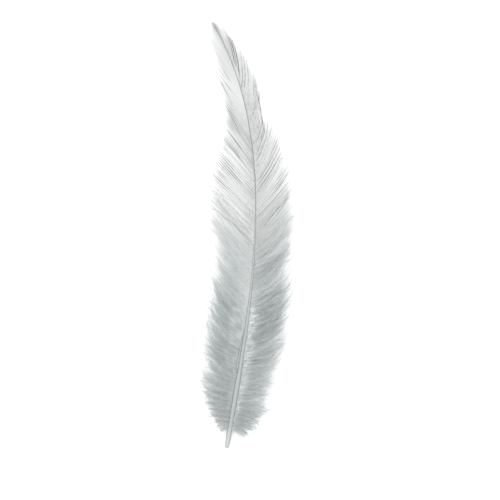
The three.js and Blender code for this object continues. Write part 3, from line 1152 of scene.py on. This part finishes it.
class DownBarbs(Barbs):
    """Barbs of down on a part of one side, in tufts that end in points."""

    steps = DOWN_STEPS

    def sort_barbs(self):
        """Finds the barbs' roots, tufts, layers and lengths, and which are strays or end in spikes."""
        start, stop = DOWN_PARTS[self.part]
        seed, side = self.settings.seed, self.side
        lobes = np.random.default_rng(seed + side).uniform(0, 2 * math.pi, len(LOBE_TURNS))
        rng = np.random.default_rng(seed + SIDE_SEED * side + int(PART_SEED * start))
        count = int(self.settings.barbs * (stop - start))
        each = (count, 1)
        places = (np.arange(count)[:, None] + rng.random(each)) / count
        roots = roots_by_density(DOWN_DENSITY, start + (stop - start) * places)
        clumps = clumps_of(count, NEW_TUFT, rng)
        self.layers = np.clip(0.5 + uneven(rng, clumps, own=0.45, shared=0.1), 0, 1)
        lobed = [np.sin(2 * math.pi * turns * roots + lobe) for turns, lobe in zip(LOBE_TURNS, lobes)]
        lengths = DOWN_LENGTH + LOBE_DEPTH * (sum(lobed) / len(lobed))
        lengths = lengths - DOWN_SHORTER * rng.random(each) ** 2
        lengths = lengths + uneven(rng, clumps, own=0, shared=0.06)
        self.strays = rng.random(each) < STRAYS
        self.lengths = (lengths + STRAY_LONGER * self.strays) * between(DOWN_LENGTHS[side], roots)
        self.spiky = 1 - ramp(*SPIKY_ROOTS, roots)
        self.each = each
        self.rng = rng
        self.roots = roots
        self.clumps = clumps

    def lay_barbs(self):
        """Finds the barbs' paths beside the shaft."""
        rng, side, each, along = self.rng, self.side, self.each, self.along
        clumps, layers, spiky = self.clumps, self.layers, self.spiky
        landings = DOWN_LANDING + DOWN_TOP * layers
        sweeps = 1 + uneven(rng, clumps, own=0.3, shared=0.06)
        bows = 1 + uneven(rng, clumps, own=0.2, shared=0.04)
        shares, distances, heights = barb_curves(
            self.line, self.roots, self.lengths, DOWN_LIFT * layers, landings, along, sweeps, bows
        )
        pull = TUFT_PULL[side] + (SPIKE_PULL - TUFT_PULL[side]) * spiky
        pull = pull * np.sqrt(rng.random(each))[clumps]
        gathers = TUFT_GATHERS + (SPIKE_GATHERS - TUFT_GATHERS) * spiky
        pull = pull * along**gathers * (1 - self.strays)
        shares = shares + pull * (clump_mean(shares, clumps) - shares)
        calm = 1 - SPIKE_CALM * spiky
        swings = waves(rng, each, along, swing=1.0 * MM, turns=1.2)
        shares = shares + swings * (1 + STRAY_SWING * self.strays) * calm / self.line.length
        distances = distances + waves(rng, each, along, swing=0.4 * MM, turns=1.2) * calm
        heights = heights + waves(rng, each, along, swing=0.5 * MM, turns=1.0)
        self.paths = self.line.beside(
            np.clip(shares, 0, 1), side, np.maximum(distances, 0), np.maximum(heights, DOWN_LOWEST)
        )

    def plan(self, name):
        rng, side, roots, along = self.rng, self.side, self.roots, self.along
        settings, clumps, shape = self.settings, self.clumps, self.paths.shape[:2]
        thin = ramp(*THIN_ROOTS, roots)
        bare = self.strays * ramp(*BARE_ALONG, along)
        spikes = self.spiky * ramp(*SPIKY_ALONG, along)
        radii = settings.barb_radius * (1 - BARB_TAPER * along**2) * (1 - THINS * thin)
        radii = radii * (1 + bare + SPIKE_SWELL * spikes)
        fullness = ramp(*FLUFF_GROWS, along) * (1 - FLUFF_SHRINKS * ramp(*FLUFF_ENDS, along))
        fullness = fullness * (1 - BARE_THINS * bare) * (1 - SPIKE_THINS * spikes)
        barbules = settings.barbule_length * fullness * rng.uniform(*FLUFF_LENGTHS, self.each)
        barbules = barbules * (1 - THINS * thin)
        hairs = settings.barbule_radius * (1 - FLUFF_TAPER * along) * (1 - THIN_RADII * thin)
        tones = between(DOWN_TONE[side], roots) + uneven(rng, clumps, own=0.07, shared=0.03)
        speckle = SPECKLE * rng.random(shape)[clumps] ** SPECKLE_POWER
        fuzz = between(FUZZ_TONE[side], roots) * (1 - ramp(*FUZZ_ALONG[side], along))
        flecks = (rng.random(shape) < FLECKS[side]) * (fuzz > FLECK_FUZZ)
        radii = radii * (1 + FLECK_SWELL * flecks)
        tones = tones + fuzz * speckle + flecks
        tones = tones + DOWN_GRAIN * rng.uniform(-1, 1, shape) - BARE_DEPTH * bare - SPIKE_DEPTH * spikes
        tones = np.clip(tones, 0, 1)
        return plan_mesh(
            name, self.paths, along=along, tone=tones, radius=radii, barbule=barbules, hair=hairs
        )


class HACKLE_OT_down(bpy.types.Operator):
    """Builds the down on both sides of the shaft's lower half, barb by barb"""

    bl_idname = "hackle.down"
    bl_label = "Build Down"

    def execute(self, context):
        settings = context.scene.hackle.down
        line = ShaftLine()
        pieces = {}
        for part in DOWN_PARTS:
            for side, word in SIDE_NAMES.items():
                pieces[f"down_{part}_{word}"] = DownBarbs(line, side, settings, part)
        grow_all(pieces, "down", settings, DOWN_ROUGHNESS, FLUFF)
        return {"FINISHED"}


# Stage

FLOOR_SIZE = 3.0
FLOOR_GAP = 0.05 * MM
FLOOR_ROUGHNESS = 0.9
LENS = 100.0
SENSOR = 36.0
LOOK_AT = (1.08 * MM, -5.3 * MM)
LAMP_PLACE = (-0.25, 0.3, 0.7)
LAMP_SIZE = 0.6


class HACKLE_OT_stage(bpy.types.Operator):
    """Builds the pale floor, the soft light and the camera that looks straight down"""

    bl_idname = "hackle.stage"
    bl_label = "Build Stage"

    def execute(self, context):
        settings = context.scene.hackle.stage
        scene = context.scene
        self.build_floor(settings)
        self.build_light(scene, settings)
        self.build_camera(scene, settings)
        scene.view_settings.view_transform = "Standard"
        return {"FINISHED"}

    def build_floor(self, settings):
        mesh = bpy.data.meshes.new("floor")
        half = FLOOR_SIZE / 2
        corners = [(-half, -half), (half, -half), (half, half), (-half, half)]
        mesh.from_pydata([(x, y, -FLOOR_GAP) for x, y in corners], [], [(0, 1, 2, 3)])
        material, _, shader = new_material("Pale floor", FLOOR_ROUGHNESS)
        shader.inputs["Base Color"].default_value = opaque(settings.floor)
        shader.inputs["Specular IOR Level"].default_value = 0.0
        mesh.materials.append(material)
        new_object("floor", mesh)

    def build_light(self, scene, settings):
        world = bpy.data.worlds.new("Soft sky")
        world.use_nodes = True
        sky = world.node_tree.nodes["Background"]
        sky.inputs["Color"].default_value = opaque(WHITE)
        sky.inputs["Strength"].default_value = settings.sky
        scene.world = world
        light = bpy.data.lights.new("Soft lamp", "AREA")
        light.energy = settings.lamp
        light.size = LAMP_SIZE
        lamp = new_object("Soft lamp", light)
        lamp.location = LAMP_PLACE
        lamp.rotation_euler = (-lamp.location).to_track_quat("-Z", "Y").to_euler()

    def build_camera(self, scene, settings):
        lens = bpy.data.cameras.new("Camera")
        lens.lens = LENS
        lens.sensor_width = SENSOR
        camera = new_object("Camera", lens)
        camera.location = (*LOOK_AT, settings.view_width * LENS / SENSOR)
        scene.camera = camera


class HACKLE_PT_panel(bpy.types.Panel):
    """Lists the settings and the steps that build the feather"""

    bl_idname = "HACKLE_PT_panel"
    bl_label = "Saddle Hackle"
    bl_space_type = "VIEW_3D"
    bl_region_type = "UI"
    bl_category = "Hackle"

    def draw(self, context):
        settings = context.scene.hackle
        groups = (
            (settings.shaft, HACKLE_OT_shaft),
            (settings.vane, HACKLE_OT_vanes),
            (settings.down, HACKLE_OT_down),
            (settings.stage, HACKLE_OT_stage),
        )
        for group, operator in groups:
            box = self.layout.box()
            for name in group.__annotations__:
                box.prop(group, name)
            box.operator(operator.bl_idname)


CLASSES = (
    ShaftSettings, VaneSettings, DownSettings, StageSettings, HackleSettings,
    HACKLE_OT_shaft, HACKLE_OT_vanes, HACKLE_OT_down, HACKLE_OT_stage, HACKLE_PT_panel,
)


def register():
    for cls in CLASSES:
        bpy.utils.register_class(cls)
    bpy.types.Scene.hackle = PointerProperty(type=HackleSettings)


def unregister():
    del bpy.types.Scene.hackle
    for cls in reversed(CLASSES):
        bpy.utils.unregister_class(cls)


def main():
    register()
    bpy.ops.hackle.stage()
    bpy.ops.hackle.shaft()
    bpy.ops.hackle.vanes()
    bpy.ops.hackle.down()


if __name__ == "__main__":
    main()
